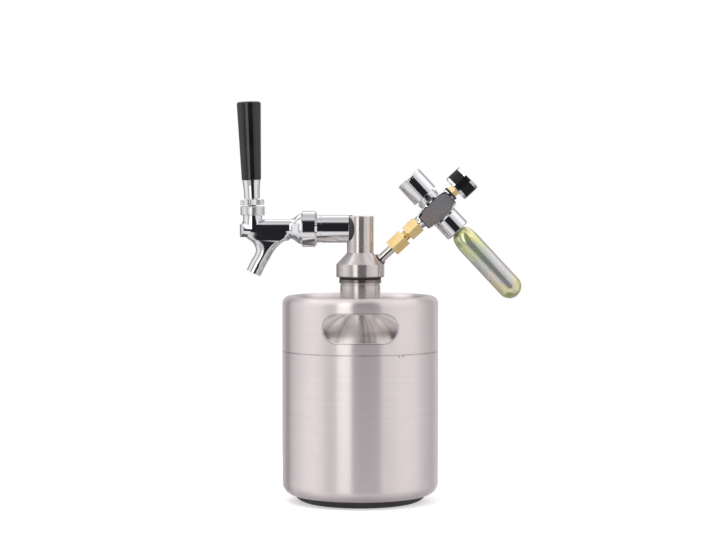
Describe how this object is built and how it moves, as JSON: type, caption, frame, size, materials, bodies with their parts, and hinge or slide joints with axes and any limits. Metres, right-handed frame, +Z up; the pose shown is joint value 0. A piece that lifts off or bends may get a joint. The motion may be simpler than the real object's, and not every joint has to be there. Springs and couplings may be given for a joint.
{
  "type": "mini keg beer dispenser",
  "caption": "Small steel keg with hand holes and a screw-in head that carries a lever tap on one side and a gas cartridge regulator with gauge on the other.",
  "frame": {"origin": "middle of the rubber base, on the surface the keg stands on", "axes": "+Z up; the tap points to -X and the gas regulator to +X; -Y is the side the picture shows"},
  "size_m": [0.2922, 0.16, 0.4106],
  "materials": {
    "stainless": "fine vertical brushing, satin",
    "chrome_plate": "polished",
    "brass": "machined, slightly dull",
    "rubber": "matte black",
    "nylon": "matte off-white",
    "black_plastic": "satin black, smooth",
    "dark_plate": "satin dark grey",
    "zinc_plate": "yellow zinc with a faint green and lilac sheen",
    "black_enamel": "satin black",
    "white_enamel": "matte white",
    "clear_lens": "clear"
  },
  "bodies": {
    "keg": {"keg_body": "stainless", "keg_dome": "stainless", "keg_collar": "stainless", "keg_neck": "stainless", "base_ring": "rubber"},
    "neck_seal": {"neck_gasket": "rubber"},
    "head": {"spigot_oring": "rubber", "head_body": "stainless", "dip_tube": "stainless", "dip_tube_seal": "rubber", "shank_tube": "chrome_plate", "shank_seal": "rubber", "coupling_washer": "rubber", "faucet_body": "chrome_plate", "faucet_bonnet": "chrome_plate", "friction_washer": "nylon", "gas_stem": "stainless", "stem_gasket": "rubber", "flare_washer": "nylon", "hex_adapter": "brass", "outlet_collar": "chrome_plate", "regulator_body": "chrome_plate", "front_plate": "dark_plate", "regulator_bonnet": "chrome_plate", "piston": "brass", "piston_oring": "rubber", "poppet": "brass", "poppet_spring": "stainless", "piercing_pin": "stainless", "pin_seal": "rubber", "cartridge_sleeve": "chrome_plate", "gauge_band": "rubber", "gauge_stem": "brass", "gauge_back": "chrome_plate", "gauge_case": "black_enamel", "bourdon_tube": "brass", "gauge_dial": "white_enamel", "gauge_lens": "clear_lens", "gauge_bezel": "chrome_plate"},
    "coupling_nut": {"coupling_nut": "chrome_plate"},
    "swivel_nut": {"swivel_nut": "brass"},
    "plunger": {"plunger_shaft": "stainless", "plunger_oring": "rubber", "seat_washer": "rubber", "washer_retainer": "brass"},
    "tap_lever": {"lever": "stainless", "lever_collar": "chrome_plate", "handle_ferrule": "chrome_plate", "handle_grip": "black_plastic"},
    "spring_seat": {"spring_seat": "stainless", "pressure_spring": "stainless"},
    "knob": {"knob": "chrome_plate", "knob_cap": "chrome_plate"},
    "cartridge_cap": {"cartridge_cap": "stainless"},
    "cartridge": {"cartridge": "zinc_plate"},
    "gauge_needle": {"gauge_needle": "black_enamel"}
  },
  "joints": [
    {"name": "head_lift", "type": "slide", "parent": "keg", "child": "neck_seal", "axis": [0, 0, 1], "range_m": [0, 0.0066]},
    {"name": "head_turn", "type": "hinge", "parent": "neck_seal", "child": "head", "pos_m": [0, 0, 0.2307], "axis": [0, 0, 1], "range_deg": [0, 1170]},
    {"name": "coupling_nut_turn", "type": "hinge", "parent": "head", "child": "coupling_nut", "pos_m": [-0.052, 0, 0.28], "axis": [1, 0, 0], "continuous": true},
    {"name": "swivel_nut_turn", "type": "hinge", "parent": "head", "child": "swivel_nut", "pos_m": [0.03873, 0, 0.26581], "axis": [0.7314, 0, 0.682], "continuous": true},
    {"name": "tap_lever_pull", "type": "hinge", "parent": "head", "child": "tap_lever", "pos_m": [-0.1104, 0, 0.296], "axis": [0, -1, 0], "range_deg": [0, 30]},
    {"name": "plunger_slide", "type": "slide", "parent": "head", "child": "plunger", "axis": [1, 0, 0], "range_m": [0, 0.008]},
    {"name": "spring_seat_slide", "type": "slide", "parent": "head", "child": "spring_seat", "axis": [0.682, 0, -0.7314], "range_m": [-0.0019, 0.0019]},
    {"name": "regulator_knob", "type": "hinge", "parent": "spring_seat", "child": "knob", "pos_m": [0.058, 0, 0.32316], "axis": [0.682, 0, -0.7314], "range_deg": [-540, 540]},
    {"name": "cartridge_out", "type": "slide", "parent": "head", "child": "cartridge_cap", "axis": [0.682, 0, -0.7314], "range_m": [0, 0.0128]},
    {"name": "cartridge_turn", "type": "hinge", "parent": "cartridge_cap", "child": "cartridge", "pos_m": [0.11856, 0, 0.25821], "axis": [0.682, 0, -0.7314], "range_deg": [0, 4320]},
    {"name": "gauge_needle_turn", "type": "hinge", "parent": "head", "child": "gauge_needle", "pos_m": [0.1066, 0, 0.3291], "axis": [-0.7314, 0, -0.682], "range_deg": [0, 270], "stiffness_Nm_per_rad": 0.001}
  ],
  "couplings": [
    {"joint": "head_lift", "follows": "head_turn", "m_per_rad": 0.00031831},
    {"joint": "plunger_slide", "follows": "tap_lever_pull", "m_per_rad": 0.015135},
    {"joint": "spring_seat_slide", "follows": "regulator_knob", "m_per_rad": 0.00019894},
    {"joint": "cartridge_out", "follows": "cartridge_turn", "m_per_rad": 0.00016843}
  ]
}
